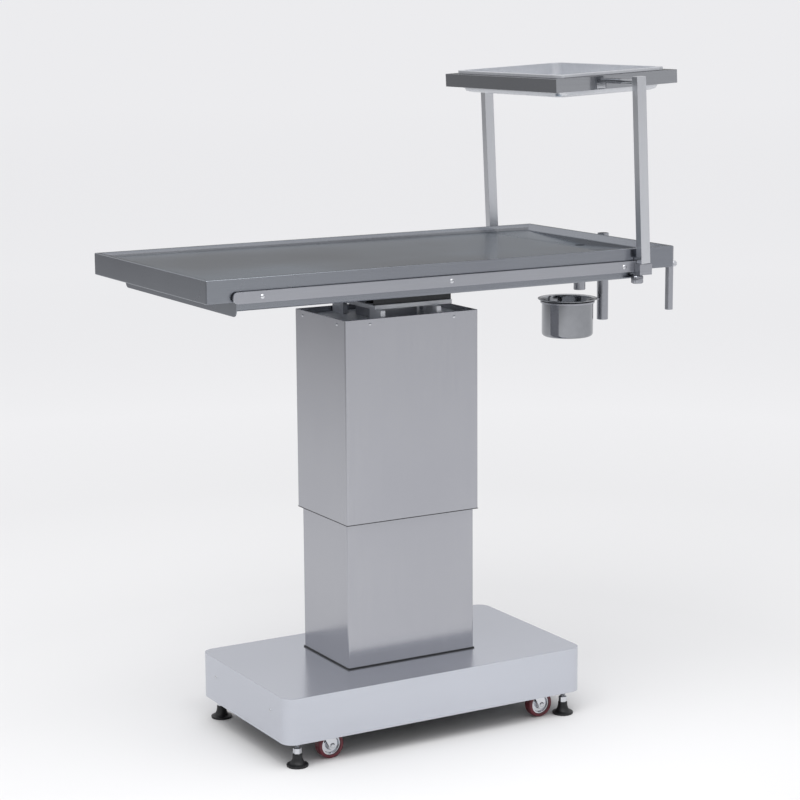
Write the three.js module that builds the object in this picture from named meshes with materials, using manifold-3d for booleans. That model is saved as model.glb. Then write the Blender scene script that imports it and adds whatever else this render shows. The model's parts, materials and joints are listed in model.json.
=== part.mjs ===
// Veterinary exam table: lift column on a wheeled base, drained steel top, instrument tray, bucket.
// Millimetres, +Z up, floor at Z = 0. X runs along the tabletop towards its drain end.
// Near is the -Y long side and left is the -X end.
import * as THREE from "three";
import { mergeVertices } from "three/addons/utils/BufferGeometryUtils.js";
import Module from "manifold-3d";

const wasm = await Module();
wasm.setup();

// Sheet steel and fits
const sheet = 2; // folded sheet thickness
const seatGap = 0.3; // gap where a piece seats on a turned or faceted neighbour
const slideGap = 1.2; // gap where a hook passes along the rail
const cutOver = 1; // how far a cutting shape runs past the face it opens

// Base
const baseLength = 796;
const baseWidth = 450;
const baseHeight = 108;
const baseClearance = 58; // floor to the cover's lower edge
const baseCornerRadius = 30;
const columnY = 14; // column axis from the base's middle, across it
const frameInset = 10; // cover wall to frame
const channelWidth = 40;
const channelWall = 4;
const casterHeight = 94; // floor to the frame's underside
const plateMargin = 2; // column plate past the lower sleeve
const plateThickness = 8;
const controlBoxGap = 12; // control box to the frame and to the column plate
const controlBoxWidth = 160;
const controlBoxHeight = 55;

// Casters
const casterInsetX = 114; // cover's end to the swivel axis
const casterInsetY = 41;
const casterPlateSize = 60;
const casterPlateThickness = 3;
const swivelRadius = 18;
const swivelHeight = 11;
const wheelRadius = 32;
const wheelWidth = 24;
const treadThickness = 8;
const casterTrail = 14;
const axleRadius = 4;
const forkThickness = 3;
const forkSideGap = 1.5;
const forkEyeRadius = 9;

// Levelling feet
const footInsetX = 39; // cover's end to the stem axis
const footInsetY = 26;
const padRadius = 25;
const padHeight = 30;
const padNeckRadius = 11;
const stemRadius = 6;
const stemTop = 130;
const hexHeight = 12;
const hexRadius = 10;

// Lift column
const raisedGap = 346; // base top to the upper sleeve, raised
const liftTravel = 330;
const lowerSleeveLength = 340;
const lowerSleeveWidth = 221;
const sleeveOverlap = 84;
const upperSleeveLength = 352;
const upperSleeveWidth = 245;
const upperSleeveHeight = 473;
const sleeveBend = 4;
const outerMastLength = 130;
const outerMastWidth = 110;
const mastWall = 4;
const mastPlay = 4; // outer mast bore to inner mast
const mastOverlap = 95;
const endStop = 5; // clearance left below the inner pieces when lowered
const glideHeight = 12;
const glideLip = 4;
const actuatorX = 102;
const motorLength = 70;
const motorWidth = 70;
const motorHeight = 80;
const actuatorRadius = 23;
const actuatorFloor = 12;
const rodRadius = 11;
const rodOverlap = 45;
const coverHoleMargin = 5;

// Head that carries the top
const headGap = 15; // upper sleeve to the head plate
const headMargin = 9; // head plate past what stands under its ends
const headWidth = 190;
const headThickness = 10;
const hangerDrop = 65; // head plate underside to the hanger ring's lower edge
const hangerHeight = 12;
const hangerWall = 8;
const strapWidth = 12;
const strapGap = 17; // inner mast to strap
const supportHeight = 44.5;
const supportWidth = 40;
const supportY = 70;
const supportWall = 4;

// Tabletop
const tableLength = 1200;
const tableWidth = 610;
const skirtDepth = 50;
const tableCornerRadius = 3;
const rimWidth = 12;
const recessSlope = 15;
const recessShallow = 8; // recess depth at the left end
const recessDeep = 12; // recess depth at the drain end
const sumpLength = 128;
const sumpMargin = 8; // recess floor's edge to the sump
const sumpDepth = 24;
const sumpFlat = 36;
const drainInset = 55; // drain axis from the drain end
const drainRadius = 14.5;
const drainWall = 2;
const drainFlangeRadius = 24;
const drainFlangeThickness = 3;
const drainLength = 107;
const undercoverDepth = 20.5;
const undercoverInset = 9;
const undercoverBend = 3;
const endLipDrop = 13; // undercover's underside to the lower edge of its left end
const endLipRadius = 15;
const undercoverLeftInset = 72;
const undercoverRightInset = 100;
const beamWidth = 40;
const beamY = 150;
const beamLeftInset = 36; // undercover end to beam
const beamRightInset = 60;
const beamWall = 4;

// Side rails
const railLength = 1064;
const railX = -11; // rail's middle along the top
const railHeight = 25;
const railThickness = 5;
const railStandoff = 5.5;
const railDrop = 27.5; // rim to the rail's upper edge
const railEndRadius = 12;
const spacerRadius = 6;
const spacerPitch = 464;

// Tray stand
const standX = 499;
const standLean = 2.6; // degrees towards the left end
const postLength = 25;
const postWidth = 20;
const postWall = 1.5;
const postHeight = 428;
const postFootRise = 19.5; // rail's lower edge to the post's foot
const clampLength = 34;
const clampFloor = 6;
const clampLip = 3;
const hookDepth = 4.5; // how far a lip overlaps the rail's edge
const hookThickness = 6;
const pivotDrop = 13; // post top to the tray pivot
const pinRadius = 6;
const knobRadius = 14;
const knobHeight = 18;
const knobGap = 3;
const knobShift = 8; // clamp's middle to the knob, towards the left end
const screwRadius = 4;

// Instrument tray
const trayLength = 340;
const trayWidth = 485;
const trayDepth = 31;
const trayWall = 3;
const trayFlange = 25;
const fingerSlotX = -45; // slot in the tray's near side, from the pivot
const fingerSlotDrop = 7;
const fingerSlotLength = 25;
const fingerSlotHeight = 12;
const panClearance = 1;
const panDrop = 14; // tray frame's lower edge to the pan's underside
const panRim = 9;
const panRimHeight = 7;
const panCornerRadius = 22;
const panFillet = 12;

// Drip-pole sockets and bucket
const tubeRadius = 14;
const tubeWall = 3;
const tubeRise = 2;
const tubeLength = 214;
const poleSize = 14;
const poleWall = 1.5;
const poleLength = 150;
const poleDrop = 4; // rim to the corner socket's top
const poleOffset = 281; // corner socket from the table's middle line
const poleScrewRadius = 2.5;
const poleScrewRise = 4; // skirt's lower edge to the thumbscrew
const poleKnobRadius = 7;
const poleKnobLength = 10;
const bucketRadius = 63;
const bucketWall = 1.5;
const bucketHeight = 94;
const bucketRim = 10;
const bucketFlare = 7;
const bucketFillet = 8;
const bucketX = 510;
const bucketDrop = 18; // drain outlet to the bucket's rim
const ringWall = 3;
const ringHeight = 4;
const ringArmWidth = 10;

// Facets on round pieces
const fineFacets = 24;
const coarseFacets = 16;
const smallFacets = 12;
const cornerFacets = 4;
const bendFacets = 2;

// Levels, from the floor up
const baseTop = baseClearance + baseHeight;
const frameTop = baseTop - sheet;
const plateTop = frameTop - channelWall;
const upperBottom = baseTop + raisedGap;
const upperTop = upperBottom + upperSleeveHeight;
const headBottom = upperTop + headGap;
const headTop = headBottom + headThickness;
const undercoverBottom = headTop + supportHeight;
const skirtBottom = undercoverBottom + undercoverDepth;
const tableTop = skirtBottom + skirtDepth;
const railTop = tableTop - railDrop;
const railBottom = railTop - railHeight;

// Places shared by pieces that meet
const frameLength = baseLength - 2 * (sheet + frameInset);
const frameWidth = baseWidth - 2 * (sheet + frameInset);
const plateLength = lowerSleeveLength + 2 * plateMargin;
const casterX = baseLength / 2 - casterInsetX;
const casterY = baseWidth / 2 - casterInsetY;
const footX = baseLength / 2 - footInsetX;
const footY = baseWidth / 2 - footInsetY;
const tableEnd = tableLength / 2;
const tableSide = tableWidth / 2;
const railInner = tableSide + railStandoff;
const railOuter = railInner + railThickness;
const railMiddle = railInner + railThickness / 2;
const postInner = railOuter + slideGap / 2;
const postOuter = postInner + postWidth;
const postBottom = railBottom + postFootRise;
const lipOuter = railInner - slideGap;
const lipInner = lipOuter - clampLip;
const innerMastBottom = plateTop + liftTravel + endStop;
const innerMastLength = outerMastLength - 2 * (mastWall + mastPlay);
const innerMastWidth = outerMastWidth - 2 * (mastWall + mastPlay);
const strapX = (innerMastLength / 2 + actuatorX - rodRadius) / 2;
const headSpan = [-strapX - headMargin, actuatorX + rodRadius + headMargin];
const outerMastTop = innerMastBottom + mastOverlap;
const rodBottom = plateTop + motorHeight + actuatorFloor + liftTravel + endStop;
const drainX = tableEnd - drainInset;
const sumpFloor = tableTop - sumpDepth;
const drainBottom = sumpFloor - sheet - drainLength;
const tubeX = tableEnd + seatGap + tubeRadius;
const poleX = tableEnd + poleSize / 2;
const poleY = -poleOffset;
const poleTop = tableTop - poleDrop;
const poleScrewZ = skirtBottom + poleScrewRise;
const bucketTop = drainBottom - bucketDrop;
const corners = [
  ["near_left", -1, -1],
  ["near_right", 1, -1],
  ["far_left", -1, 1],
  ["far_right", 1, 1],
];
const sides = [
  ["near", -1],
  ["far", 1],
];

// Surface finishes
const finishes = {
  steel: { color: 0x9a9ca1, roughness: 0.35, metalness: 1 },
  paleSteel: { color: 0xb9bcc4, roughness: 0.45, metalness: 0.9 },
  polished: { color: 0xc4c6ca, roughness: 0.12, metalness: 1 },
  darkSteel: { color: 0x2e3034, roughness: 0.55, metalness: 0.6 },
  chrome: { color: 0xd2d4d8, roughness: 0.1, metalness: 1 },
  redTread: { color: 0x6b2430, roughness: 0.5, metalness: 0 },
  blackRubber: { color: 0x18191b, roughness: 0.7, metalness: 0 },
  nylon: { color: 0xe4e2da, roughness: 0.5, metalness: 0 },
};

const around = (centre, size) => [centre - size / 2, centre + size / 2];

// A span across the table on one side of its middle line, from the inner distance to the outer
const across = (side, inner, outer) => (side < 0 ? [-outer, -inner] : [inner, outer]);

// A closed solid for joining and cutting, from a geometry whose seams are merged
function solidOf(geometry) {
  const bare = geometry.clone();
  bare.deleteAttribute("normal");
  bare.deleteAttribute("uv");
  const merged = mergeVertices(bare, 1e-4);
  const triangles = [];
  for (let i = 0; i < merged.index.count; i += 3) {
    const [a, b, c] = merged.index.array.subarray(i, i + 3);
    if (a !== b && b !== c && c !== a) {
      triangles.push(a, b, c);
    }
  }
  const vertProperties = Float32Array.from(merged.attributes.position.array);
  const triVerts = Uint32Array.from(triangles);
  return new wasm.Manifold(new wasm.Mesh({ numProp: 3, vertProperties, triVerts }));
}

function geometryOf(solid) {
  const mesh = solid.getMesh();
  const geometry = new THREE.BufferGeometry();
  geometry.setAttribute("position", new THREE.Float32BufferAttribute(mesh.vertProperties, 3));
  geometry.setIndex(Array.from(mesh.triVerts));
  geometry.computeVertexNormals();
  return geometry;
}

function join(...geometries) {
  const solids = geometries.map(solidOf);
  return geometryOf(solids.reduce((whole, next) => whole.add(next)));
}

function cut(geometry, ...tools) {
  const solid = tools.map(solidOf).reduce((left, tool) => left.subtract(tool), solidOf(geometry));
  return geometryOf(solid);
}

function block([x0, x1], [y0, y1], [z0, z1]) {
  const geometry = new THREE.BoxGeometry(x1 - x0, y1 - y0, z1 - z0);
  return geometry.translate((x0 + x1) / 2, (y0 + y1) / 2, (z0 + z1) / 2);
}

// Round bars along each axis, placed by the two coordinates across them
function barZ(radius, x, y, [z0, z1], facets = coarseFacets) {
  const geometry = new THREE.CylinderGeometry(radius, radius, z1 - z0, facets);
  return geometry.rotateX(Math.PI / 2).translate(x, y, (z0 + z1) / 2);
}

function barY(radius, x, z, [y0, y1], facets = coarseFacets) {
  const geometry = new THREE.CylinderGeometry(radius, radius, y1 - y0, facets);
  return geometry.translate(x, (y0 + y1) / 2, z);
}

function barX(radius, y, z, [x0, x1], facets = coarseFacets) {
  const geometry = new THREE.CylinderGeometry(radius, radius, x1 - x0, facets);
  return geometry.rotateZ(Math.PI / 2).translate((x0 + x1) / 2, y, z);
}

// A profile of [radius, height] points turned about Z at x, y
function turned(profile, x, y, facets = fineFacets) {
  const points = profile.map(([radius, height]) => new THREE.Vector2(radius, height));
  const geometry = new THREE.LatheGeometry(points, facets);
  return geometry.rotateX(Math.PI / 2).translate(x, y, 0);
}

function roundedOutline(length, width, radius) {
  const halfLength = length / 2 - radius;
  const halfWidth = width / 2 - radius;
  const outline = new THREE.Shape();
  outline.absarc(halfLength, halfWidth, radius, 0, Math.PI / 2);
  outline.absarc(-halfLength, halfWidth, radius, Math.PI / 2, Math.PI);
  outline.absarc(-halfLength, -halfWidth, radius, Math.PI, Math.PI * 1.5);
  outline.absarc(halfLength, -halfWidth, radius, Math.PI * 1.5, Math.PI * 2);
  outline.closePath();
  return outline;
}

function extrudeUp(outline, [z0, z1], facets = cornerFacets) {
  const options = { depth: z1 - z0, bevelEnabled: false, curveSegments: facets };
  return new THREE.ExtrudeGeometry(outline, options).translate(0, 0, z0);
}

// An upright rectangular tube with bent corners
function sleeve(length, width, wall, bend, span) {
  const outline = roundedOutline(length, width, bend);
  outline.holes.push(roundedOutline(length - 2 * wall, width - 2 * wall, Math.max(bend - wall, 1)));
  return extrudeUp(outline, span, bendFacets);
}

// A solid through a pile of rings, each with the same number of points, counted anticlockwise
function pile(rings) {
  const count = rings[0].length;
  const positions = rings.flat(2);
  const index = [];
  for (let level = 0; level + 1 < rings.length; level += 1) {
    for (let i = 0; i < count; i += 1) {
      const next = (i + 1) % count;
      const low = level * count;
      const high = low + count;
      index.push(low + i, low + next, high + next, low + i, high + next, high + i);
    }
  }
  const top = (rings.length - 1) * count;
  for (let i = 1; i + 1 < count; i += 1) {
    index.push(0, i + 1, i, top, top + i, top + i + 1);
  }
  const geometry = new THREE.BufferGeometry();
  geometry.setAttribute("position", new THREE.Float32BufferAttribute(positions, 3));
  geometry.setIndex(index);
  return geometry;
}

// A level or sloping rectangle; the two heights are at its left and right ends
function rectangleRing([x0, x1], [y0, y1], leftZ, rightZ = leftZ) {
  return [[x0, y0, leftZ], [x1, y0, rightZ], [x1, y1, rightZ], [x0, y1, leftZ]];
}

function roundedRing(halfLength, halfWidth, radius, z) {
  const points = roundedOutline(2 * halfLength, 2 * halfWidth, radius).getPoints(cornerFacets);
  const ring = points.filter((point, i) => i === 0 || point.distanceTo(points[i - 1]) > 1e-6);
  if (ring[0].distanceTo(ring[ring.length - 1]) < 1e-6) {
    ring.pop();
  }
  return ring.map((point) => [point.x, point.y, z]);
}

// A channel lying along X, open underneath
function channel(xSpan, yCentre, width, [z0, z1], wall) {
  const inside = block([xSpan[0] - cutOver, xSpan[1] + cutOver], around(yCentre, width - 2 * wall),
    [z0 - cutOver, z1 - wall]);
  return cut(block(xSpan, around(yCentre, width), [z0, z1]), inside);
}

function addPiece(group, name, geometry, finish) {
  const mesh = new THREE.Mesh(geometry, new THREE.MeshStandardMaterial(finishes[finish]));
  mesh.name = name;
  group.add(mesh);
  return mesh;
}

function addGroup(parent, x = 0, y = 0, z = 0) {
  const group = new THREE.Group();
  group.position.set(x, y, z);
  parent.add(group);
  return group;
}

// Base: channel frame, column plate, cover and control box
function addBase(base) {
  const ring = block(around(0, frameLength), around(0, frameWidth), [casterHeight, frameTop]);
  const middle = block(around(0, frameLength - 2 * channelWidth), around(0, frameWidth - 2 * channelWidth),
    [casterHeight - cutOver, frameTop + cutOver]);
  const groove = block(around(0, frameLength - 2 * channelWall), around(0, frameWidth - 2 * channelWall),
    [casterHeight + channelWall, plateTop]);
  const stemHoles = corners.map(([, sideX, sideY]) => barZ(stemRadius + 2 * seatGap, sideX * footX,
    sideY * footY, [casterHeight - cutOver, casterHeight + channelWall + cutOver], smallFacets));
  addPiece(base, "base_frame", cut(ring, middle, groove, ...stemHoles), "darkSteel");

  const plateWidth = frameWidth - 2 * (channelWall + seatGap);
  const plate = block(around(0, plateLength), around(0, plateWidth),
    [plateTop - plateThickness, plateTop]);
  addPiece(base, "column_plate", plate, "darkSteel");

  const outsideOutline = roundedOutline(baseLength, baseWidth, baseCornerRadius);
  const outside = extrudeUp(outsideOutline, [baseClearance, baseTop]);
  const insideOutline = roundedOutline(baseLength - 2 * sheet, baseWidth - 2 * sheet,
    baseCornerRadius - sheet);
  const inside = extrudeUp(insideOutline, [baseClearance - cutOver, frameTop]);
  const holeLeft = -outerMastLength / 2 - coverHoleMargin;
  const holeRight = actuatorX + motorLength / 2 + coverHoleMargin;
  const hole = block([holeLeft, holeRight], around(columnY, outerMastWidth + 2 * coverHoleMargin),
    [frameTop - cutOver, baseTop + cutOver]);
  addPiece(base, "base_cover", cut(outside, inside, hole), "paleSteel");

  const boxSpan = [-frameLength / 2 + channelWidth + controlBoxGap, -plateLength / 2 - controlBoxGap];
  const controlBox = block(boxSpan, around(0, controlBoxWidth), [frameTop - controlBoxHeight, frameTop]);
  addPiece(base, "control_box", controlBox, "darkSteel");
}

// Swivel casters, their wheels trailing towards the drain end
function addCaster(base, label, sideX, sideY) {
  const plateBottom = casterHeight - casterPlateThickness;
  const raceBottom = plateBottom - swivelHeight;
  const caster = addGroup(base, sideX * casterX, sideY * casterY);
  const plate = block(around(0, casterPlateSize), around(0, casterPlateSize), [plateBottom, casterHeight]);
  const race = barZ(swivelRadius, 0, 0, [raceBottom, plateBottom + cutOver]);
  addPiece(caster, `caster_plate_${label}`, join(plate, race), "chrome");

  const forkTop = raceBottom - seatGap;
  const crownBottom = forkTop - forkThickness;
  const legInner = wheelWidth / 2 + forkSideGap;
  const legOuter = legInner + forkThickness;
  const crown = block(around(0, 2 * swivelRadius), around(0, 2 * legOuter), [crownBottom, forkTop]);
  const leg = new THREE.Shape();
  leg.moveTo(-swivelRadius, forkTop);
  leg.lineTo(casterTrail - forkEyeRadius, wheelRadius);
  leg.absarc(casterTrail, wheelRadius, forkEyeRadius, Math.PI, Math.PI * 2);
  leg.lineTo(swivelRadius, forkTop);
  leg.closePath();
  const legs = [-legOuter, legInner].map((start) => new THREE.ExtrudeGeometry(leg,
    { depth: forkThickness, bevelEnabled: false, curveSegments: 8 })
    .rotateX(Math.PI / 2).translate(0, start + forkThickness, 0));
  const axle = barY(axleRadius, casterTrail, wheelRadius, [-legOuter, legOuter], smallFacets);
  addPiece(caster, `caster_fork_${label}`, join(crown, ...legs, axle), "chrome");

  const wheel = addGroup(caster, casterTrail, 0, wheelRadius);
  const rimRadius = wheelRadius - treadThickness;
  const half = wheelWidth / 2;
  const edge = treadThickness / 4;
  const treadProfile = [[rimRadius, -half], [wheelRadius - edge, -half], [wheelRadius, -half + edge],
    [wheelRadius, half - edge], [wheelRadius - edge, half], [rimRadius, half], [rimRadius, -half]];
  const bore = axleRadius + seatGap;
  const web = half / 2;
  const hubOuter = rimRadius - seatGap;
  const hubProfile = [[bore, -half], [bore + treadThickness, -half], [bore + treadThickness, -web],
    [hubOuter, -web], [hubOuter, web], [bore + treadThickness, web], [bore + treadThickness, half],
    [bore, half], [bore, -half]];
  const turnedAlongY = (profile) => new THREE.LatheGeometry(
    profile.map(([radius, side]) => new THREE.Vector2(radius, side)), coarseFacets);
  addPiece(wheel, `wheel_hub_${label}`, turnedAlongY(hubProfile), "chrome");
  addPiece(wheel, `wheel_tread_${label}`, turnedAlongY(treadProfile), "redTread");
}

// Levelling feet: a bell-shaped pad under a threaded stem with a hexagon
function addFoot(base, label, sideX, sideY) {
  const foot = addGroup(base, sideX * footX, sideY * footY);
  const lip = padHeight / 4;
  const padProfile = [[0, 0], [padRadius - 1, 0], [padRadius, 1], [padRadius, lip],
    [(padRadius + padNeckRadius) / 2, 2 * lip], [padNeckRadius + 1, 3 * lip], [padNeckRadius, padHeight],
    [0, padHeight]];
  addPiece(foot, `foot_pad_${label}`, turned(padProfile, 0, 0, coarseFacets), "blackRubber");
  const stemBottom = padHeight + seatGap;
  const stem = barZ(stemRadius, 0, 0, [stemBottom, stemTop], smallFacets);
  const hexagon = barZ(hexRadius, 0, 0, [stemBottom, stemBottom + hexHeight], 6);
  addPiece(foot, `foot_stem_${label}`, join(stem, hexagon), "chrome");
}

// Fixed half of the lift column
function addColumn(table) {
  const lowerTop = upperBottom + sleeveOverlap;
  const lower = sleeve(lowerSleeveLength, lowerSleeveWidth, sheet, sleeveBend, [baseTop, lowerTop]);
  addPiece(table, "lower_sleeve", lower, "steel");

  const mast = sleeve(outerMastLength, outerMastWidth, mastWall, mastWall, [plateTop, outerMastTop]);
  addPiece(table, "outer_mast", mast, "darkSteel");
  const glideWall = mastWall + mastPlay + glideLip - seatGap;
  const glide = sleeve(outerMastLength + 2 * glideLip, outerMastWidth + 2 * glideLip, glideWall, glideLip,
    [outerMastTop, outerMastTop + glideHeight]);
  addPiece(table, "mast_glide", glide, "nylon");

  const motorTop = plateTop + motorHeight;
  const motor = block(around(actuatorX, motorLength), around(0, motorWidth), [plateTop, motorTop]);
  addPiece(table, "actuator_motor", motor, "darkSteel");
  const bore = rodRadius + 2 * seatGap;
  const tubeTop = rodBottom + rodOverlap;
  const tubeProfile = [[0, motorTop], [actuatorRadius, motorTop], [actuatorRadius, tubeTop], [bore, tubeTop],
    [bore, motorTop + actuatorFloor], [0, motorTop + actuatorFloor]];
  addPiece(table, "actuator_tube", turned(tubeProfile, actuatorX, 0, coarseFacets), "steel");
}

// Moving half of the lift column, up to the two channels under the top
function addLiftHead(table) {
  const mast = sleeve(innerMastLength, innerMastWidth, mastWall, mastWall, [innerMastBottom, headBottom]);
  addPiece(table, "inner_mast", mast, "steel");
  addPiece(table, "actuator_rod", barZ(rodRadius, actuatorX, 0, [rodBottom, headBottom]), "chrome");
  const head = block(headSpan, around(0, headWidth), [headBottom, headTop]);
  addPiece(table, "head_plate", head, "darkSteel");

  const upper = sleeve(upperSleeveLength, upperSleeveWidth, sheet, sleeveBend, [upperBottom, upperTop]);
  addPiece(table, "upper_sleeve", upper, "steel");

  const ringLength = upperSleeveLength - 2 * (sheet + seatGap);
  const ringWidth = upperSleeveWidth - 2 * (sheet + seatGap);
  const ringBottom = headBottom - hangerDrop;
  const ring = sleeve(ringLength, ringWidth, hangerWall, sleeveBend, [ringBottom, ringBottom + hangerHeight]);
  const strapOuter = ringWidth / 2 - hangerWall / 2;
  const strapInner = innerMastWidth / 2 + strapGap;
  const straps = corners.map(([, sideX, sideY]) => block(around(sideX * strapX, strapWidth),
    across(sideY, strapInner, strapOuter), [ringBottom, headBottom]));
  addPiece(table, "sleeve_hanger", join(ring, ...straps), "darkSteel");

  for (const [label, side] of sides) {
    const support = channel(headSpan, side * supportY, supportWidth, [headTop, undercoverBottom],
      supportWall);
    addPiece(table, `support_channel_${label}`, support, "darkSteel");
  }
}

// Shallow tray beneath the tabletop with a deeper left end, and the two beams inside it
function addUndercover(table) {
  const left = -tableEnd + undercoverLeftInset;
  const right = tableEnd - undercoverRightInset;
  const half = tableSide - undercoverInset;
  const trough = (halfWidth, [x0, x1], bottom, top) => {
    const low = halfWidth - undercoverBend;
    const shoulder = bottom + undercoverBend;
    const ring = (x) => [[x, -halfWidth, top], [x, -halfWidth, shoulder], [x, -low, bottom], [x, low, bottom],
      [x, halfWidth, shoulder], [x, halfWidth, top]];
    return pile([ring(x0), ring(x1)]);
  };
  const outside = trough(half, [left, right], undercoverBottom, skirtBottom);
  const inside = trough(half - sheet, [left + sheet, right - sheet], undercoverBottom + sheet,
    skirtBottom + cutOver);
  const lipDepth = undercoverDepth + endLipDrop;
  const lip = extrudeUp(roundedOutline(lipDepth, 2 * half, endLipRadius), [left, left + sheet]);
  lip.rotateY(Math.PI / 2).translate(0, 0, skirtBottom - lipDepth / 2);
  addPiece(table, "undercover", join(cut(outside, inside), lip), "steel");

  const beamSpan = [left + beamLeftInset, right - beamRightInset];
  const beamTop = tableTop - recessDeep - sheet - seatGap;
  for (const [label, side] of sides) {
    const beam = channel(beamSpan, side * beamY, beamWidth, [undercoverBottom + sheet, beamTop], beamWall);
    addPiece(table, `table_beam_${label}`, beam, "darkSteel");
  }
}

// Folded top: skirt, rim, sloping recess and a sump over the drain
function addTabletop(table) {
  const outline = roundedOutline(tableLength, tableWidth, tableCornerRadius);
  const outside = extrudeUp(outline, [skirtBottom, tableTop]);
  const inside = block(around(0, tableLength - 2 * sheet), around(0, tableWidth - 2 * sheet),
    [skirtBottom - cutOver, tableTop - sheet]);
  const rimX = tableEnd - rimWidth;
  const rimY = tableSide - rimWidth;
  const floorX = rimX - recessSlope;
  const floorY = rimY - recessSlope;
  const recess = (lower, topRing) => pile([
    rectangleRing([-floorX, floorX], [-floorY, floorY], tableTop - recessShallow - lower,
      tableTop - recessDeep - lower),
    rectangleRing([-rimX, rimX], [-rimY, rimY], tableTop - lower / 2),
    rectangleRing([-rimX, rimX], [-rimY, rimY], topRing),
  ]);
  const sumpX = [floorX - sumpLength, floorX - sumpMargin];
  const sumpY = floorY - sumpMargin;
  const sump = (lower) => pile([
    rectangleRing(around(drainX, sumpFlat), around(0, sumpFlat), sumpFloor - lower),
    rectangleRing(sumpX, [-sumpY, sumpY], tableTop - recessDeep - lower),
    rectangleRing(sumpX, [-sumpY, sumpY], tableTop - recessShallow / 2 - lower),
  ]);
  const folded = join(cut(outside, inside), recess(sheet, tableTop - sheet / 4), sump(sheet));
  const drainHole = barZ(drainRadius - drainWall, drainX, 0, [sumpFloor - sumpDepth, tableTop], fineFacets);
  const top = cut(folded, recess(0, tableTop + cutOver), sump(0), drainHole);
  addPiece(table, "tabletop", top, "steel");

  const flangeTop = sumpFloor - sheet;
  const flangeBottom = flangeTop - drainFlangeThickness;
  const bore = drainRadius - drainWall;
  const drainProfile = [[bore, drainBottom], [drainRadius, drainBottom], [drainRadius, flangeBottom],
    [drainFlangeRadius, flangeBottom], [drainFlangeRadius, flangeTop], [bore, flangeTop],
    [bore, drainBottom]];
  addPiece(table, "drain_stub", turned(drainProfile, drainX, 0), "steel");
}

// Flat side rails on spacers, one along each long side
function addRails(table) {
  const rails = addGroup(table, railX);
  const outline = roundedOutline(railLength, railHeight, railEndRadius);
  const bar = extrudeUp(outline, [railInner, railOuter]).rotateX(Math.PI / 2);
  bar.translate(0, 0, railBottom + railHeight / 2);
  const spacers = [-spacerPitch, 0, spacerPitch].map((x) => barY(spacerRadius, x,
    railBottom + railHeight / 2, [-railInner - railThickness / 2, -tableSide], smallFacets));
  const rail = join(bar, ...spacers);
  addPiece(rails, "rail_near", rail, "steel");
  addPiece(rails, "rail_far", rail, "steel").rotation.z = Math.PI;
}

// Tray stand: a clamp and a post on each rail, knobs under the clamps, and the tray between the posts
function addStand(table) {
  const stand = addGroup(table, standX);
  const leaning = addGroup(stand, 0, 0, postBottom);
  leaning.rotation.y = -THREE.MathUtils.degToRad(standLean);
  const pivotZ = postHeight - pivotDrop;
  for (const [label, side] of sides) {
    addClamp(stand, label, side);
    addPost(leaning, label, side, pivotZ);
  }
  addTray(leaning, pivotZ);
}

function addClamp(stand, label, side) {
  const clampBottom = railBottom - slideGap / 2 - clampFloor;
  const footDip = Math.sin(THREE.MathUtils.degToRad(standLean)) * postLength / 2;
  const clampTop = postBottom - seatGap - footDip;
  const clampX = around(0, clampLength);
  const screwY = side * railMiddle;
  const screwHole = barZ(screwRadius + seatGap, -knobShift, screwY,
    [clampBottom - cutOver, railBottom + cutOver]);
  const clamp = cut(join(
    block(clampX, across(side, postInner, postOuter), [clampBottom, clampTop]),
    block(clampX, across(side, lipInner, postInner + cutOver), [clampBottom, clampBottom + clampFloor]),
    block(clampX, across(side, lipInner, lipOuter), [clampBottom, railBottom + hookDepth]),
  ), screwHole);
  addPiece(stand, `clamp_${label}`, clamp, "steel");

  const knobTop = clampBottom - knobGap;
  const knobBottom = knobTop - knobHeight;
  const bevel = knobHeight / 6;
  const screwTop = railBottom - seatGap;
  const knobProfile = [[0, knobBottom], [knobRadius - bevel, knobBottom], [knobRadius, knobBottom + bevel],
    [knobRadius, knobTop - bevel], [knobRadius - bevel, knobTop], [screwRadius, knobTop],
    [screwRadius, screwTop], [0, screwTop]];
  addPiece(stand, `clamp_knob_${label}`, turned(knobProfile, -knobShift, screwY, coarseFacets), "steel");
}

function addPost(leaning, label, side, pivotZ) {
  const postX = around(0, postLength);
  const hookBottom = railTop + slideGap - postBottom;
  const hookTop = hookBottom + hookThickness;
  const bore = block(around(0, postLength - 2 * postWall),
    across(side, postInner + postWall, postOuter - postWall), [-cutOver, postHeight - postWall]);
  const pinHole = barY(pinRadius + seatGap, 0, pivotZ,
    across(side, postInner - cutOver, postInner + postWidth / 2));
  const post = cut(join(
    block(postX, across(side, postInner, postOuter), [0, postHeight]),
    block(postX, across(side, lipInner, postInner + postWall / 2), [hookBottom, hookTop]),
    block(postX, across(side, lipInner, lipOuter), [hookBottom - hookDepth, hookTop]),
  ), bore, pinHole);
  addPiece(leaning, `post_${label}`, post, "steel");
}

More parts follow.
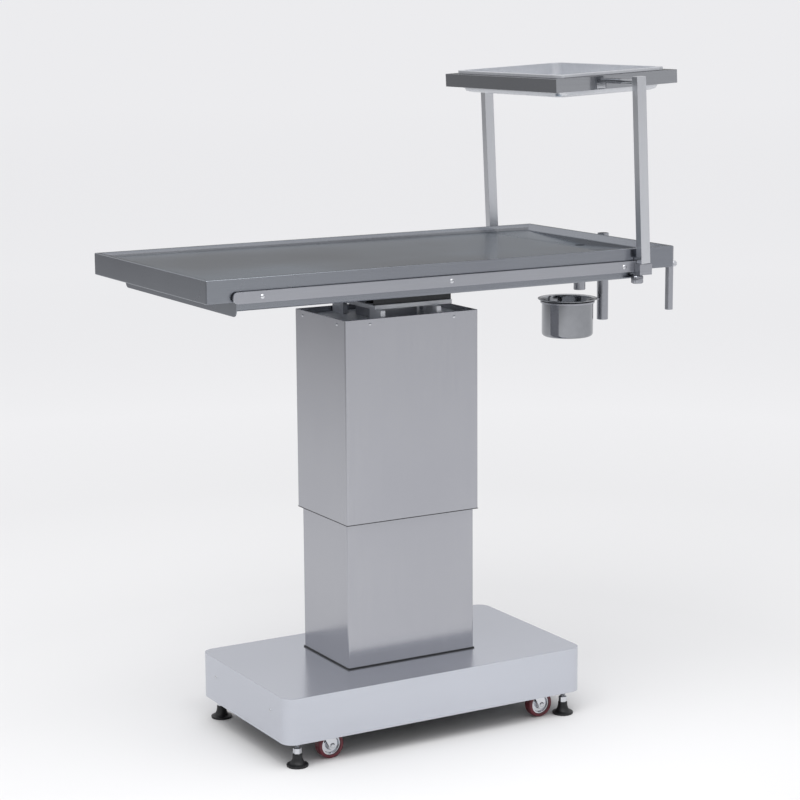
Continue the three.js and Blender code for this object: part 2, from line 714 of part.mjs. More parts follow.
function addTray(leaning, pivotZ) {
  const trayZ = around(pivotZ, trayDepth);
  const openLength = trayLength - 2 * trayFlange;
  const openWidth = trayWidth - 2 * trayFlange;
  const pinEnd = postInner + postWidth / 2 - seatGap;
  const folded = cut(block(around(0, trayLength), around(0, trayWidth), trayZ),
    block(around(0, trayLength - 2 * trayWall), around(0, trayWidth - 2 * trayWall),
      [trayZ[0] - cutOver, trayZ[1] - trayWall]),
    block(around(0, openLength), around(0, openWidth), [trayZ[0], trayZ[1] + cutOver]),
    block(around(fingerSlotX, fingerSlotLength), around(-trayWidth / 2, 4 * trayWall),
      around(pivotZ - fingerSlotDrop, fingerSlotHeight)));
  const side = trayWidth / 2 - trayWall / 2;
  const pins = [[-pinEnd, -side], [side, pinEnd]].map((span) => barY(pinRadius, 0, pivotZ, span,
    smallFacets));
  addPiece(leaning, "tray_frame", join(folded, ...pins), "steel");

  const halfLength = openLength / 2 - panClearance;
  const halfWidth = openWidth / 2 - panClearance;
  const rimBottom = trayZ[1] + seatGap;
  const rimTop = rimBottom + panRimHeight;
  const bottom = trayZ[0] - panDrop;
  const basin = (wall) => [[panFillet, 0], [panFillet / 3, panFillet / 4], [0, panFillet]].map(
    ([inset, rise]) => roundedRing(halfLength - wall - inset, halfWidth - wall - inset, panCornerRadius,
      bottom + wall + rise));
  const straight = (grow, z) => roundedRing(halfLength + grow, halfWidth + grow, panCornerRadius, z);
  const outside = pile([...basin(0), straight(0, rimBottom), straight(panRim, rimBottom),
    straight(panRim, rimTop)]);
  const inside = pile([...basin(sheet), straight(-sheet, rimTop + cutOver)]);
  addPiece(leaning, "tray_pan", cut(outside, inside), "polished");
}

// Drain end: round socket tube with the bucket's ring, bucket, corner pole socket and its thumbscrew
function addDrainEnd(table) {
  const tubeTop = tableTop + tubeRise;
  const tubeBore = tubeRadius - tubeWall;
  const tubeProfile = [[tubeBore, tubeTop - tubeLength], [tubeRadius, tubeTop - tubeLength],
    [tubeRadius, tubeTop], [tubeBore, tubeTop], [tubeBore, tubeTop - tubeLength]];
  addPiece(table, "end_tube", turned(tubeProfile, tubeX, 0), "steel");

  const wallTop = bucketTop - bucketFlare;
  const ringTop = wallTop - seatGap;
  const ringInner = bucketRadius + seatGap;
  const ringOuter = ringInner + ringWall;
  const ringProfile = [[ringInner, ringTop - ringHeight], [ringOuter, ringTop - ringHeight],
    [ringOuter, ringTop], [ringInner, ringTop], [ringInner, ringTop - ringHeight]];
  const arm = block([bucketX + ringOuter - ringWall / 2, tubeX - tubeRadius - seatGap],
    around(0, ringArmWidth), [ringTop - ringHeight, ringTop]);
  addPiece(table, "bucket_ring", join(turned(ringProfile, bucketX, 0), arm), "steel");

  const bucketBottom = bucketTop - bucketHeight;
  const bucketSide = (inset) => [[bucketRadius - inset - bucketFillet, bucketBottom + inset],
    [bucketRadius - inset - bucketFillet / 4, bucketBottom + inset + bucketFillet / 4],
    [bucketRadius - inset, bucketBottom + inset + bucketFillet], [bucketRadius - inset, wallTop]];
  const bucketProfile = [[0, bucketBottom], ...bucketSide(0),
    [bucketRadius + bucketRim, bucketTop - bucketWall], [bucketRadius + bucketRim, bucketTop],
    [bucketRadius - bucketWall + bucketRim / 2, bucketTop], ...bucketSide(bucketWall).reverse(),
    [0, bucketBottom + bucketWall]];
  addPiece(table, "bucket", turned(bucketProfile, bucketX, 0), "polished");

  const socketOutline = sleeve(poleSize, poleSize, poleWall, poleWall, [poleTop - poleLength, poleTop]);
  const screwHole = barX(poleScrewRadius + 2 * seatGap, 0, poleScrewZ, [0, poleSize]);
  const socket = cut(socketOutline, screwHole).translate(poleX, poleY, 0);
  addPiece(table, "pole_socket", socket, "steel");
  const knobStart = poleX + poleSize / 2 + seatGap;
  const shaftStart = poleX + poleSize / 2 - poleWall;
  const shaft = barX(poleScrewRadius, poleY, poleScrewZ, [shaftStart, knobStart + cutOver]);
  const knob = barX(poleKnobRadius, poleY, poleScrewZ, [knobStart, knobStart + poleKnobLength]);
  addPiece(table, "pole_screw", join(shaft, knob), "chrome");
}

function buildTable() {
  const table = new THREE.Group();
  const base = addGroup(table, 0, -columnY);
  addBase(base);
  for (const [label, sideX, sideY] of corners) {
    addCaster(base, label, sideX, sideY);
    addFoot(base, label, sideX, sideY);
  }
  addColumn(table);
  addLiftHead(table);
  addUndercover(table);
  addTabletop(table);
  addRails(table);
  addStand(table);
  addDrainEnd(table);
  const bounds = new THREE.Box3().setFromObject(table, true);
  table.position.x = -(bounds.min.x + bounds.max.x) / 2;
  return table;
}

export default buildTable();
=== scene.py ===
import json
import math
import bmesh
import bpy
from mathutils import Matrix, Vector


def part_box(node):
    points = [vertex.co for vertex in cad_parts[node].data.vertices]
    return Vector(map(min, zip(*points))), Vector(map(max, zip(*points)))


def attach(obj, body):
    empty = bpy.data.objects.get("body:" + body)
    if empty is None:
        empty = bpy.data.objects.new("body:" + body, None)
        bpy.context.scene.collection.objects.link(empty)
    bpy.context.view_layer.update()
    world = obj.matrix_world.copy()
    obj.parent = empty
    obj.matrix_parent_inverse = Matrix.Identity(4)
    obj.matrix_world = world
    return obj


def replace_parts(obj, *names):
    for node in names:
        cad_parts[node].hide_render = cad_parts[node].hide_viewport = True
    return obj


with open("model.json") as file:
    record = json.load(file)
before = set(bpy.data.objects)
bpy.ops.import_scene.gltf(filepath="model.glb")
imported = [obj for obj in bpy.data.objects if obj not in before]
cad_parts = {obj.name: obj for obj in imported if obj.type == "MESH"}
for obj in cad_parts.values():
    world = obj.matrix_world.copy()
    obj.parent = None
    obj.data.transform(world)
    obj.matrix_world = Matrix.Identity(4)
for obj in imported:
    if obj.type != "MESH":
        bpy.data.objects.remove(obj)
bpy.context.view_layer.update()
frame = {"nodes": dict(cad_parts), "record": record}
nodes = frame["nodes"]
bodies = frame["record"]["behaviour"]["bodies"]
bodyOf = {name: body for body, members in bodies.items() for name in members}
slotOf = {s["node"]: s["material_slot"] for s in frame["record"]["subparts"]}
corners = ["near_left", "near_right", "far_left", "far_right"]
print("frame loaded", len(nodes))


# Materials
class Wire:
    def __init__(self, tree, socket):
        self.tree = tree
        self.socket = socket

    def make(self, kind, settings=None, sockets=None, out=0):
        node = self.tree.nodes.new(kind)
        for key, value in (settings or {}).items():
            setattr(node, key, value)
        for key, value in (sockets or {}).items():
            if isinstance(value, Wire):
                self.tree.links.new(value.socket, node.inputs[key])
            else:
                node.inputs[key].default_value = value
        return Wire(self.tree, node.outputs[out])

    def math(self, operation, first, second):
        return self.make("ShaderNodeMath", {"operation": operation}, {0: first, 1: second})

    def __add__(self, other):
        return self.math("ADD", self, other)

    def __mul__(self, other):
        return self.math("MULTIPLY", self, other)

    def dot(self, direction):
        product = {"operation": "DOT_PRODUCT"}
        return self.make("ShaderNodeVectorMath", product, {0: self, 1: direction}, 1)

    def ramp(self, low, high, start=0.0, end=1.0):
        return self.make("ShaderNodeMapRange", {"interpolation_type": "SMOOTHSTEP"},
                         {0: self, 1: low, 2: high, 3: start, 4: end})

    def stops(self, levels):
        low, span = levels[0][0], levels[-1][0] - levels[0][0]
        share = self.make("ShaderNodeMapRange", None, {0: self, 1: low, 2: low + span})
        ramp = self.make("ShaderNodeValToRGB", None, {0: share})
        elements = ramp.socket.node.color_ramp.elements
        elements.remove(elements[1])
        for i, (place, level) in enumerate(levels):
            stop = elements[0] if i == 0 else elements.new(1.0)
            stop.position = (place - low) / span
            stop.color = (level, level, level, 1)
        return ramp

    def mix(self, first, second):
        return self.make("ShaderNodeMix", {"data_type": "RGBA"}, {0: self, 6: first, 7: second}, 2)


def rgb(code):
    channels = [int(code[i:i + 2], 16) / 255 for i in (0, 2, 4)]
    return tuple(c / 12.92 if c < 0.04045 else ((c + 0.055) / 1.055) ** 2.4 for c in channels) + (1.0,)


def newMaterial(name):
    material = bpy.data.materials.new(name)
    material.use_nodes = True
    tree = material.node_tree
    shader = tree.nodes["Principled BSDF"]
    coords = Wire(tree, tree.nodes.new("ShaderNodeTexCoord").outputs["Object"])
    return material, shader, coords


def link(shader, key, value):
    if isinstance(value, Wire):
        value.tree.links.new(value.socket, shader.inputs[key])
    else:
        shader.inputs[key].default_value = value


def noise(coords, stretch, scale, detail=3.0):
    moved = coords.make("ShaderNodeMapping", None, {0: coords, 3: stretch})
    return coords.make("ShaderNodeTexNoise", None, {"Vector": moved, "Scale": scale, "Detail": detail})


metalSet = {"cloudScale": 2.5, "cloudDetail": 2.0, "streakShare": 0.35, "cloudShare": 0.65}


def metal(name, dark, light, rough, grain, stretch=(1, 1, 1), metallic=1.0):
    material, shader, coords = newMaterial(name)
    streaks = noise(coords, stretch, grain)
    clouds = noise(coords, (1, 1, 1), metalSet["cloudScale"], metalSet["cloudDetail"])
    tone = streaks * metalSet["streakShare"] + clouds * metalSet["cloudShare"]
    link(shader, "Base Color", tone.ramp(0.3, 0.7).mix(rgb(dark), rgb(light)))
    link(shader, "Roughness", clouds.ramp(0.3, 0.7, rough[0], rough[1]))
    shader.inputs["Metallic"].default_value = metallic
    return material


def plain(name, dark, light, rough, scale, bump=0.0):
    material, shader, coords = newMaterial(name)
    speckle = noise(coords, (1, 1, 1), scale, 5.0)
    link(shader, "Base Color", speckle.ramp(0.3, 0.7).mix(rgb(dark), rgb(light)))
    link(shader, "Roughness", speckle.ramp(0.3, 0.7, rough[0], rough[1]))
    if bump:
        grain = {"Strength": bump, "Distance": 0.001, "Height": speckle}
        link(shader, "Normal", coords.make("ShaderNodeBump", None, grain))
    return material


alongX = (0.02, 1.0, 1.0)
alongZ = (1.0, 1.0, 0.02)
finishes = {
    # top: a darker, bluer copy of the table steel for the tabletop's upward faces, a painted dark reflection
    "top": metal("top_steel_painted_reflection", "5A6570", "6C7782", (0.15, 0.28), 420.0, alongX),
    "skirt": metal("skirt_steel", "8A8D94", "92969C", (0.22, 0.28), 420.0, alongX),
    "sleeve": metal("sleeve_steel", "ABACB2", "B2B3B8", (0.16, 0.2), 420.0, alongZ, metallic=0.88),
    "pale": metal("base_steel", "C2C5CD", "C9CCD4", (0.2, 0.27), 420.0, alongX, metallic=0.9),
    "bar": metal("bar_steel", "AAACB2", "B2B4BA", (0.32, 0.4), 380.0, alongX),
    "post": metal("post_steel", "D2D4D8", "DADCE0", (0.28, 0.36), 380.0, alongZ),
    "round": metal("tube_steel", "9A9CA2", "A4A6AC", (0.18, 0.26), 200.0),
    "polished": metal("polished_steel", "8E9094", "989A9E", (0.08, 0.13), 60.0),
    "tray": metal("tray_steel", "989A9E", "A2A4A8", (0.1, 0.15), 300.0, alongX),
    "pan": metal("pan_steel", "D2D4D8", "DCDEE2", (0.3, 0.38), 120.0, metallic=0.8),
    "zinc": metal("zinc_plate", "D4D6DA", "E0E2E6", (0.35, 0.45), 90.0, metallic=0.0),
    "chrome": metal("bright_plate", "CCCED2", "D8DADE", (0.06, 0.12), 40.0),
    "dark": plain("dark_paint", "1E2023", "2A2C30", (0.4, 0.5), 120.0),
    "tread": plain("red_tread", "5A1B26", "6A2430", (0.35, 0.45), 90.0),
    "rubber": plain("black_rubber", "101113", "18191C", (0.4, 0.55), 150.0, 0.1),
    "nylon": plain("glide_plastic", "D8D6CE", "E6E4DC", (0.4, 0.5), 80.0),
}
slotFinish = {
    "brushed_steel": "bar", "pale_steel": "pale", "polished_steel": "polished",
    "dark_steel": "dark", "bright_chrome": "chrome", "red_tread": "tread",
    "black_rubber": "rubber", "glide_plastic": "nylon",
}
nodeFinish = {
    "tabletop": "top", "undercover": "skirt", "lower_sleeve": "sleeve", "upper_sleeve": "sleeve",
    "post_near": "post", "post_far": "post", "end_tube": "round", "drain_stub": "round",
    "clamp_knob_near": "round", "clamp_knob_far": "round", "pole_socket": "bar",
    "head_plate": "zinc", "sleeve_hanger": "zinc", "tray_frame": "tray", "tray_pan": "pan",
}
for name, node in nodes.items():
    node.data.materials.clear()
    node.data.materials.append(finishes[nodeFinish.get(name, slotFinish[slotOf[name]])])
print("materials made", len(finishes))


# Pieces
smoothAngle = math.radians(40.0)


def addPiece(mesh, name, node, finish=None):
    bmesh.ops.recalc_face_normals(mesh, faces=mesh.faces)
    for face in mesh.faces:
        face.smooth = True
    for edge in mesh.edges:
        edge.smooth = len(edge.link_faces) != 2 or edge.calc_face_angle(0.0) < smoothAngle
    data = bpy.data.meshes.new(name)
    mesh.to_mesh(data)
    mesh.free()
    piece = bpy.data.objects.new(name, data)
    bpy.context.scene.collection.objects.link(piece)
    data.materials.append(finishes[finish] if finish else nodes[node].data.materials[0])
    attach(piece, bodyOf[node])
    return piece


# level: faces more upright than this keep a part's darker top colour (painted reflection); steeper faces and
# edge rounds take its lighter side colour (painted highlight)
roundSet = {"slack": 0.001, "sharp": math.radians(35.0), "flat": math.radians(1.0), "level": 0.93}


def isOuter(vert, low, high):
    return min(min(vert.co[i] - low[i], high[i] - vert.co[i]) for i in (0, 1)) < roundSet["slack"]


def sharpEdges(mesh):
    folds = [edge for edge in mesh.edges if len(edge.link_faces) == 2]
    return [edge for edge in folds if edge.calc_face_angle(0.0) > roundSet["sharp"]]


def bevel(mesh, edges, width, segments, clamp):
    bmesh.ops.bevel(mesh, geom=edges, offset=width, segments=segments, profile=0.5, affect="EDGES",
                    material=-1, clamp_overlap=clamp)


# The outline's edges take their own wider round first
def rounded(name, width):
    mesh = bmesh.new()
    mesh.from_mesh(nodes[name].data)
    bmesh.ops.remove_doubles(mesh, verts=mesh.verts, dist=1e-5)
    bmesh.ops.dissolve_limit(mesh, angle_limit=roundSet["flat"], verts=mesh.verts, edges=mesh.edges)
    if name in outerWidths:
        low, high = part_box(name)
        outer = [edge for edge in sharpEdges(mesh) if all(isOuter(v, low, high) for v in edge.verts)]
        bevel(mesh, outer, outerWidths[name], 3, False)
    bevel(mesh, sharpEdges(mesh), width, 2, True)
    piece = addPiece(mesh, name + "_shown", name)
    flat = piece.modifiers.new("flat", "WEIGHTED_NORMAL")  # keeps the sheet faces flat beside their rounds
    flat.keep_sharp = True
    # painted light: the tabletop's flat top faces keep the darker top steel, while its sides and edge rounds
    # take the lighter skirt steel, a painted highlight along the rim
    if name in paintedLightSides:
        piece.data.materials.append(finishes[paintedLightSides[name]])
        for polygon in piece.data.polygons:
            polygon.material_index = int(abs(polygon.normal.z) < roundSet["level"])
    return piece


# parts whose sides and edge rounds take a lighter colour than their tops: painted highlight beside a painted
# dark top
paintedLightSides = {"tabletop": "skirt"}
outerWidths = {"tabletop": 0.0018, "lower_sleeve": 0.0008, "upper_sleeve": 0.0008}
edgeWidths = {
    "base_cover": 0.005, "lower_sleeve": 0.0005, "upper_sleeve": 0.0005, "tabletop": 0.0008,
    "undercover": 0.0008, "rail_near": 0.0012, "rail_far": 0.0012, "post_near": 0.0015,
    "post_far": 0.0015, "clamp_near": 0.001, "clamp_far": 0.001, "tray_frame": 0.0008,
    "tray_pan": 0.0006, "pole_socket": 0.0006, "head_plate": 0.001, "sleeve_hanger": 0.0008,
}
forkWidth = 0.0006
for name, width in edgeWidths.items():
    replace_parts(rounded(name, width), name)
for name in corners:
    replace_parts(rounded("caster_fork_" + name, forkWidth), "caster_fork_" + name)
print("edges rounded", len(edgeWidths) + len(corners))

turnTo = {
    "x": Matrix.Rotation(math.radians(90), 4, "Y"),
    "y": Matrix.Rotation(math.radians(-90), 4, "X"),
    "z": Matrix.Identity(4),
}


# A profile of (radius, height) points spun about one axis through a place
def spin(mesh, profile, place, axis="z", steps=64, scallops=0, depth=0.0):
    verts = [mesh.verts.new((radius, 0, height)) for radius, height in profile]
    edges = [mesh.edges.new(pair) for pair in zip(verts, verts[1:])]
    bmesh.ops.spin(mesh, geom=verts + edges, cent=(0, 0, 0), axis=(0, 0, 1), dvec=(0, 0, 0),
                   angle=2 * math.pi, steps=steps, use_merge=True, use_duplicate=False)
    bmesh.ops.remove_doubles(mesh, verts=[v for v in mesh.verts if not v.tag], dist=1e-6)
    widest = max(radius for radius, _ in profile)
    for vert in [v for v in mesh.verts if not v.tag]:
        radius = math.hypot(vert.co.x, vert.co.y)
        if scallops and radius > 0.9 * widest:
            wave = 1 - depth * (0.5 + 0.5 * math.cos(scallops * math.atan2(vert.co.y, vert.co.x)))
            vert.co.x *= wave
            vert.co.y *= wave
        vert.co = Matrix.Translation(place) @ turnTo[axis] @ vert.co
        vert.tag = True


def arc(centre, radius, first, last, steps=6):
    angles = [math.radians(first + (last - first) * i / steps) for i in range(steps + 1)]
    return [(centre[0] + radius * math.cos(a), centre[1] + radius * math.sin(a)) for a in angles]


def addBox(mesh, low, high):
    middle = [(a + b) / 2 for a, b in zip(low, high)]
    size = [b - a for a, b in zip(low, high)]
    place = Matrix.Translation(middle) @ Matrix.Diagonal((*size, 1))
    for vert in bmesh.ops.create_cube(mesh, size=1.0, matrix=place)["verts"]:
        vert.tag = True


def middleOf(name):
    low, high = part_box(name)
    return Vector((low[0] + high[0], low[1] + high[1], low[2] + high[2])) / 2


# Bucket with a rolled rim, and the ring that holds it
bucketSet = {"rim": 0.01, "flare": 0.007, "wall": 0.0015, "fillet": 0.009, "bead": 0.0016,
             "bendOut": 0.3, "bendUnder": 0.55, "bendOver": 0.3}


def makeBucket():
    low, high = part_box("bucket")
    place = middleOf("bucket")
    place.z = 0
    rim = (high[0] - low[0]) / 2
    side = rim - bucketSet["rim"]
    fillet, wall, bead = bucketSet["fillet"], bucketSet["wall"], bucketSet["bead"]
    flare = bucketSet["flare"]
    shoulder = high[2] - flare
    bend = bucketSet["bendOut"] * bucketSet["rim"]
    outside = [(0, low[2])] + arc((side - fillet, low[2] + fillet), fillet, -90, 0)
    outside += [(side, shoulder), (side + bend, high[2] - bucketSet["bendUnder"] * flare)]
    outside += arc((rim - bead, high[2] - bead), bead, -90, 90)
    inside = [(side - wall + bend, high[2] - bucketSet["bendOver"] * flare), (side - wall, shoulder)]
    inside += arc((side - fillet, low[2] + fillet), fillet - wall, 0, -90) + [(0, low[2] + wall)]
    mesh = bmesh.new()
    spin(mesh, outside + inside, place, steps=96)
    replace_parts(addPiece(mesh, "bucket_shown", "bucket"), "bucket")


ringSet = {"wall": 0.003, "armHalf": 0.005, "armGap": 0.001}


def makeRing():
    low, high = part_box("bucket_ring")
    outer = (high[1] - low[1]) / 2
    inner = outer - ringSet["wall"]
    place = Vector((low[0] + outer, (low[1] + high[1]) / 2, 0))
    half = ringSet["armHalf"]
    profile = [(inner, low[2]), (outer, low[2]), (outer, high[2]), (inner, high[2]), (inner, low[2])]
    mesh = bmesh.new()
    spin(mesh, profile, place, steps=96)
    addBox(mesh, (place.x + inner + ringSet["armGap"], -half, low[2]), (high[0], half, high[2]))
    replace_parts(addPiece(mesh, "bucket_ring_shown", "bucket_ring"), "bucket_ring")


# Hollow tubes under the drain end
tubeSet = {"end_tube": (0.014, 0.011), "drain_stub": (0.0145, 0.0125)}
tubeLip = 0.0005
drainFlange = {"radius": 0.024, "thickness": 0.003}


def makeTube(name):
    low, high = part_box(name)
    place = middleOf(name)
    place.z = 0
    outer, inner = tubeSet[name]
    profile = [(inner, low[2]), (outer - tubeLip, low[2]), (outer, low[2] + tubeLip)]
    if name == "drain_stub":
        under = high[2] - drainFlange["thickness"]
        profile += [(outer, under), (drainFlange["radius"], under), (drainFlange["radius"], high[2])]
    else:
        profile += [(outer, high[2] - tubeLip), (outer - tubeLip, high[2])]
    mesh = bmesh.new()
    spin(mesh, profile + [(inner, high[2]), (inner, low[2])], place, steps=48)
    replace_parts(addPiece(mesh, name + "_shown", name), name)


# Knurled knobs: two under the rail clamps and a thumbscrew on the pole socket
knobSet = {"height": 0.018, "bevel": 0.002, "screw": 0.004, "scallops": 24, "depth": 0.05}


def makeKnob(name):
    low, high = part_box(name)
    place = middleOf(name)
    place.z = 0
    radius = (high[0] - low[0]) / 2
    bevel, screw = knobSet["bevel"], knobSet["screw"]
    top = low[2] + knobSet["height"]
    profile = [(0, low[2]), (radius - bevel, low[2]), (radius, low[2] + bevel), (radius, top - bevel),
               (radius - bevel, top), (screw, top), (screw, high[2]), (0, high[2])]
    mesh = bmesh.new()
    spin(mesh, profile, place, steps=96, scallops=knobSet["scallops"], depth=knobSet["depth"])
    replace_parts(addPiece(mesh, name + "_shown", name), name)


thumbSet = {"length": 0.01, "shaft": 0.0025, "bevel": 0.001, "scallops": 16, "depth": 0.06}


def makeThumbscrew():
    low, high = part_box("pole_screw")
    place = middleOf("pole_screw")
    place.x = 0
    radius = (high[1] - low[1]) / 2
    start = high[0] - thumbSet["length"]
    bevel, shaft = thumbSet["bevel"], thumbSet["shaft"]
    profile = [(0, low[0]), (shaft, low[0]), (shaft, start), (radius - bevel, start), (radius, start + bevel),
               (radius, high[0] - bevel), (radius - bevel, high[0]), (0, high[0])]
    mesh = bmesh.new()
    spin(mesh, profile, place, "x", 64, thumbSet["scallops"], thumbSet["depth"])
    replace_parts(addPiece(mesh, "pole_screw_shown", "pole_screw"), "pole_screw")


makeBucket()
makeRing()
makeTube("end_tube")
makeTube("drain_stub")
makeKnob("clamp_knob_near")
makeKnob("clamp_knob_far")
makeThumbscrew()
print("drain end and knobs made")

# Casters: rounded tread, dished hub and an axle bolt
wheelSet = {"tread": 0.008, "round": 0.005, "bore": 0.0045, "boss": 0.011, "web": 0.004, "dish": 0.003,
            "play": 0.0003, "chamfer": 0.001, "flank": 0.002, "rim": 0.003}
axleBolt = [(0, 0.0035), (0.0035, 0.0035), (0.0055, 0.002), (0.006, 0.0)]


def makeWheel(corner):
    tread, hub = "wheel_tread_" + corner, "wheel_hub_" + corner
    low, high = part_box(tread)
    place = middleOf(tread)
    outer = (high[2] - low[2]) / 2
    half = (high[1] - low[1]) / 2
    rim = outer - wheelSet["tread"]
    turn = wheelSet["round"]
    profile = [(rim, -half)] + arc((outer - turn, -half + turn), turn, -90, 0)
    profile += arc((outer - turn, half - turn), turn, 0, 90) + [(rim, half), (rim, -half)]
    mesh = bmesh.new()
    spin(mesh, profile, place, "y", 64)
    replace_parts(addPiece(mesh, tread + "_shown", tread), tread)

    edge = rim - wheelSet["play"]
    web, boss, bore = wheelSet["web"], wheelSet["boss"], wheelSet["bore"]
    chamfer, flank, step = wheelSet["chamfer"], wheelSet["flank"], edge - wheelSet["rim"]
    face = half - wheelSet["dish"]
    side = [(bore, half), (boss - chamfer, half), (boss, half - chamfer), (boss + flank, web),
            (step - flank, web), (step, face), (edge, face)]
    profile = side + [(r, -h) for r, h in reversed(side)] + [side[0]]
    mesh = bmesh.new()
    spin(mesh, profile, place, "y", 64)
    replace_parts(addPiece(mesh, hub + "_shown", hub), hub)

    fork = "caster_fork_" + corner
    forkLow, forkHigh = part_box(fork)
    mesh = bmesh.new()
    spin(mesh, axleBolt, (place.x, forkHigh[1], place.z), "y", 24)
    spin(mesh, [(r, -h) for r, h in axleBolt], (place.x, forkLow[1], place.z), "y", 24)
    addPiece(mesh, "axle_bolts_" + corner, fork, "chrome")


# Levelling feet: ribbed pad, threaded stem and hexagon
footSet = {"lip": 0.006, "neck": 0.011, "ribs": 18, "ribDepth": 0.03, "chamfer": 0.001, "inset": 0.002,
           "collar": 0.004, "stem": 0.006, "pitch": 0.00175, "thread": 0.0006, "hex": 0.01,
           "hexHeight": 0.012}


def makeFoot(corner):
    pad, stem = "foot_pad_" + corner, "foot_stem_" + corner
    low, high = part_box(pad)
    place = middleOf(pad)
    place.z = 0
    radius = (high[0] - low[0]) / 2
    lip, neck, chamfer, top = footSet["lip"], footSet["neck"], footSet["chamfer"], high[2]
    spread, climb = radius - footSet["inset"] - neck, top - footSet["collar"] - lip
    bell = [(neck + spread * (1 - math.sin(math.radians(a))), lip + climb * (1 - math.cos(math.radians(a))))
            for a in range(0, 91, 10)]
    profile = [(0, low[2]), (radius - chamfer, low[2]), (radius, low[2] + chamfer), (radius, lip - chamfer)]
    profile += bell + [(neck, top - chamfer), (neck - chamfer, top), (0, top)]
    mesh = bmesh.new()
    spin(mesh, profile, place, steps=72, scallops=footSet["ribs"], depth=footSet["ribDepth"])
    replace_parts(addPiece(mesh, pad + "_shown", pad), pad)

    low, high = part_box(stem)
    outer, thread, pitch = footSet["stem"], footSet["thread"], footSet["pitch"]
    start = low[2] + footSet["hexHeight"]
    turns = int((high[2] - start) / pitch)
    profile = [(0, start - chamfer), (outer - thread, start - chamfer)]
    for i in range(turns):
        base = start + i * pitch
        profile += [(outer - thread, base), (outer, base + pitch / 2)]
    profile += [(outer - thread, high[2]), (0, high[2])]
    mesh = bmesh.new()
    spin(mesh, profile, place, steps=24)
    middle = Matrix.Translation((place.x, place.y, low[2] + footSet["hexHeight"] / 2))
    bmesh.ops.create_cone(mesh, cap_ends=True, segments=6, radius1=footSet["hex"], radius2=footSet["hex"],
                          depth=footSet["hexHeight"], matrix=middle)
    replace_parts(addPiece(mesh, stem + "_shown", stem), stem)


for corner in corners:
    makeWheel(corner)
    makeFoot(corner)
print("casters and feet made")

# Screw heads on the rails, the sleeves and the base
screwSet = {"rail": 0.0055, "sleeve": 0.0035, "base": 0.0045, "spacerPitch": 0.464,
            "sleeveDrop": 0.012, "sleeveX": 0.111, "sleeveY": 0.084, "baseY": 0.144, "baseDrop": 0.045}
screwDome = [(0.0, 0.45), (0.35, 0.42), (0.7, 0.3), (0.92, 0.14), (1.0, -0.1)]


def addScrew(mesh, place, axis, sign, radius):
    spin(mesh, [(r * radius, sign * h * radius) for r, h in screwDome], place, axis, 20)


def makeScrews():
    for side, sign in (("near", -1), ("far", 1)):
        low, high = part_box("rail_" + side)
        face = low[1] if sign < 0 else high[1]
        mesh = bmesh.new()
        for step in (-1, 0, 1):
            x = (low[0] + high[0]) / 2 + step * screwSet["spacerPitch"]
            addScrew(mesh, (x, face, (low[2] + high[2]) / 2), "y", sign, screwSet["rail"])
        addPiece(mesh, "rail_screws_" + side, "rail_" + side, "chrome")
    low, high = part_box("upper_sleeve")
    middle = middleOf("upper_sleeve")
    z = high[2] - screwSet["sleeveDrop"]
    mesh = bmesh.new()
    for step in (-1, 1):
        for face, sign in ((low[1], -1), (high[1], 1)):
            addScrew(mesh, (middle.x + step * screwSet["sleeveX"], face, z), "y", sign, screwSet["sleeve"])
        for face, sign in ((low[0], -1), (high[0], 1)):
            addScrew(mesh, (face, middle.y + step * screwSet["sleeveY"], z), "x", sign, screwSet["sleeve"])
    addPiece(mesh, "sleeve_screws", "upper_sleeve", "chrome")
    low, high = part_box("base_cover")
    middle = middleOf("base_cover")
    mesh = bmesh.new()
    for step in (-1, 1):
        for face, sign in ((low[0], -1), (high[0], 1)):
            place = (face, middle.y + step * screwSet["baseY"], high[2] - screwSet["baseDrop"])
            addScrew(mesh, place, "x", sign, screwSet["base"])
    addPiece(mesh, "base_screws", "base_cover", "chrome")


makeScrews()
print("screws made")

# Pale plate that closes the top of the upper sleeve
plateSet = {"drop": 0.013, "thickness": 0.002, "gap": 0.003}


def makeSleevePlate():
    low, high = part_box("upper_sleeve")
    top = high[2] - plateSet["drop"]
    mesh = bmesh.new()
    gap = plateSet["gap"]
    bottom = top - plateSet["thickness"]
    addBox(mesh, (low[0] + gap, low[1] + gap, bottom), (high[0] - gap, high[1] - gap, top))
    addPiece(mesh, "sleeve_plate", "upper_sleeve", "zinc")


makeSleevePlate()
print("sleeve plate made")

# Dark rubber bands that paint shadow: one around the lower sleeve's foot as a painted contact shadow at the
# joint, and a thin one under the upper sleeve's edge as a painted shadow of its lip
jointShadowSet = {"proud": 0.0015, "height": 0.003, "width": 0.0025}
lipShadowSet = {"height": 0.0015, "width": 0.002}


def addBand(mesh, low, high, width):
    left, right, near, far = low[0] + width, high[0] - width, low[1] + width, high[1] - width
    addBox(mesh, low, (left, high[1], high[2]))
    addBox(mesh, (right, low[1], low[2]), high)
    addBox(mesh, (left, low[1], low[2]), (right, near, high[2]))
    addBox(mesh, (left, far, low[2]), (right, high[1], high[2]))


# painted shadow: a dark band proud of the lower sleeve's foot, standing in for the contact shadow where it
# meets the base
def makeJointShadow():
    low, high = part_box("lower_sleeve")
    out, bottom = jointShadowSet["proud"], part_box("base_cover")[1][2]
    mesh = bmesh.new()
    addBand(mesh, (low[0] - out, low[1] - out, bottom),
            (high[0] + out, high[1] + out, bottom + jointShadowSet["height"]), jointShadowSet["width"])
    addPiece(mesh, "sleeve_joint_painted_shadow", "lower_sleeve", "rubber")


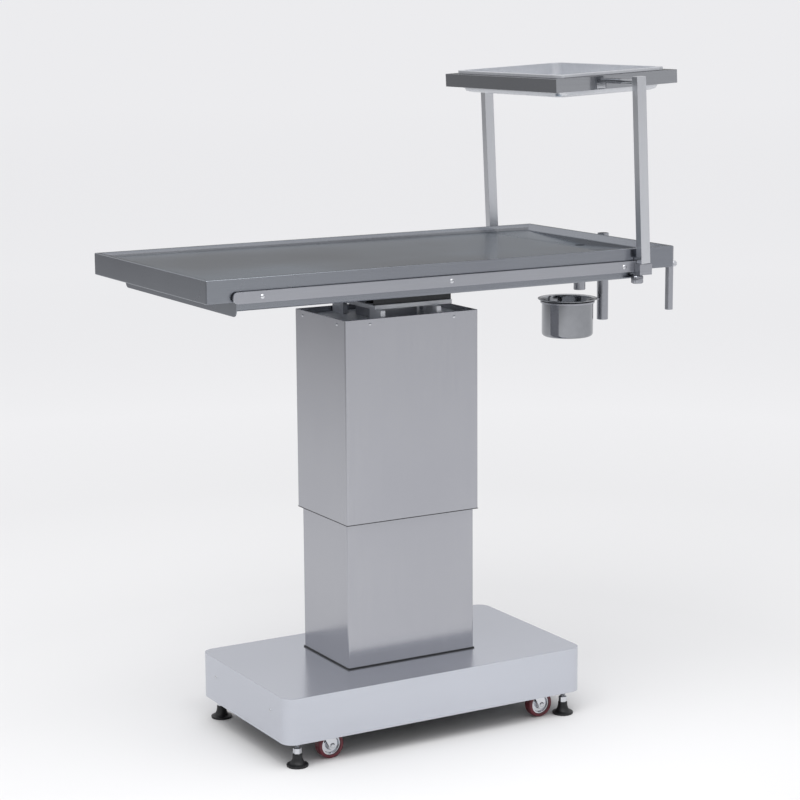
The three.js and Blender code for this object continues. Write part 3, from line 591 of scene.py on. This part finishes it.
# painted shadow: a thin dark band under the upper sleeve's edge, standing in for the shadow of its lip on the
# lower sleeve
def makeLipShadow():
    low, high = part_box("upper_sleeve")
    bottom = low[2] - lipShadowSet["height"]
    mesh = bmesh.new()
    addBand(mesh, (low[0], low[1], bottom), (high[0], high[1], low[2]), lipShadowSet["width"])
    addPiece(mesh, "sleeve_lip_painted_shadow", "upper_sleeve", "rubber")


makeJointShadow()
makeLipShadow()
print("joint_shadow and lip_shadow made")


# Floor, world, lights and camera
studio = {
    "floorSize": 3000.0, "bankRadii": (200.0, 2900.0), "bankHeight": 80.0,
    "left": (-0.98, 0.2, 0.0), "fade": (1.0, 7.0), "fadeShade": (0.36, 0.36, 0.36, 1),
    "skyRise": (0.0, 0.4), "skyLow": (0.15, 0.15, 0.154, 1), "skyHigh": (0.9, 0.9, 0.92, 1),
}
# painted light: the floor colour changes with distance from the middle; it is paler right under the object,
# which lifts the object's shadow, dips around 1 to 2 m and pales again far off
floorShades = [(0.0, 0.85), (0.6, 0.8), (1.2, 0.74), (2.5, 0.76), (4.0, 0.86), (9.0, 0.94), (30.0, 0.97)]


def makeFloor():
    mesh = bmesh.new()
    bmesh.ops.create_grid(mesh, x_segments=1, y_segments=1, size=studio["floorSize"])
    inner, outer = studio["bankRadii"]  # far off the floor rises a little, over the horizon
    bmesh.ops.create_cone(mesh, cap_ends=False, segments=96, radius1=inner, radius2=outer,
                          depth=studio["bankHeight"])
    data = bpy.data.meshes.new("floor")
    mesh.to_mesh(data)
    mesh.free()
    floor = bpy.data.objects.new("floor", data)
    bpy.context.scene.collection.objects.link(floor)
    material, shader, coords = newMaterial("floor")
    link(shader, "Roughness", 0.9)
    link(shader, "Specular IOR Level", 0.0)
    away = coords.make("ShaderNodeVectorMath", {"operation": "LENGTH"}, {0: coords}, 1)
    side = coords.dot(studio["left"]).ramp(*studio["fade"])  # painted shade: the floor colour greys far to the left, standing in for light falling off there
    link(shader, "Base Color", side.mix(away.stops(floorShades), studio["fadeShade"]))
    data.materials.append(material)


def makeWorld():
    world = bpy.data.worlds.new("studio")
    bpy.context.scene.world = world
    world.use_nodes = True
    tree = world.node_tree
    ways = Wire(tree, tree.nodes.new("ShaderNodeTexCoord").outputs["Generated"])
    rise = ways.dot((0.0, 0.0, 1.0)).ramp(*studio["skyRise"])
    link(tree.nodes["Background"], "Color", rise.mix(studio["skyLow"], studio["skyHigh"]))


lampSet = {"place": (-0.8, -1.2, 4.2), "target": (0, 0, 0.5), "size": (4.0, 4.0), "power": 130.0}


def makeLamp():
    data = bpy.data.lights.new("overhead", "AREA")
    data.shape = "RECTANGLE"
    data.size, data.size_y = lampSet["size"]
    data.energy = lampSet["power"]
    lamp = bpy.data.objects.new("overhead", data)
    bpy.context.scene.collection.objects.link(lamp)
    lamp.location = lampSet["place"]
    lamp.rotation_mode = "QUATERNION"
    lamp.rotation_quaternion = (Vector(lampSet["target"]) - lamp.location).to_track_quat("-Z", "Y")


makeFloor()
makeWorld()
makeLamp()

view = {"fromTop": (-2.49425, -4.41448, 1.7001), "yaw": 29.815, "pitch": 10.408, "roll": -0.4077,
        "lens": 98.698, "sensor": 36.0, "farClip": 9000.0}


def makeCamera():
    data = bpy.data.cameras.new("camera")
    data.lens = view["lens"]
    data.sensor_width = view["sensor"]
    data.clip_end = view["farClip"]
    camera = bpy.data.objects.new("camera", data)
    bpy.context.scene.collection.objects.link(camera)
    eye = Vector(view["fromTop"]) + Vector((middleOf("tabletop").x, 0, 0))
    yaw = Matrix.Rotation(math.radians(-view["yaw"]), 4, "Z")
    pitch = Matrix.Rotation(math.radians(90 - view["pitch"]), 4, "X")
    roll = Matrix.Rotation(math.radians(view["roll"]), 4, "Z")
    camera.matrix_world = Matrix.Translation(eye) @ yaw @ pitch @ roll
    bpy.context.scene.camera = camera


makeCamera()
bpy.context.scene.view_settings.view_transform = "Standard"
print("studio ready")
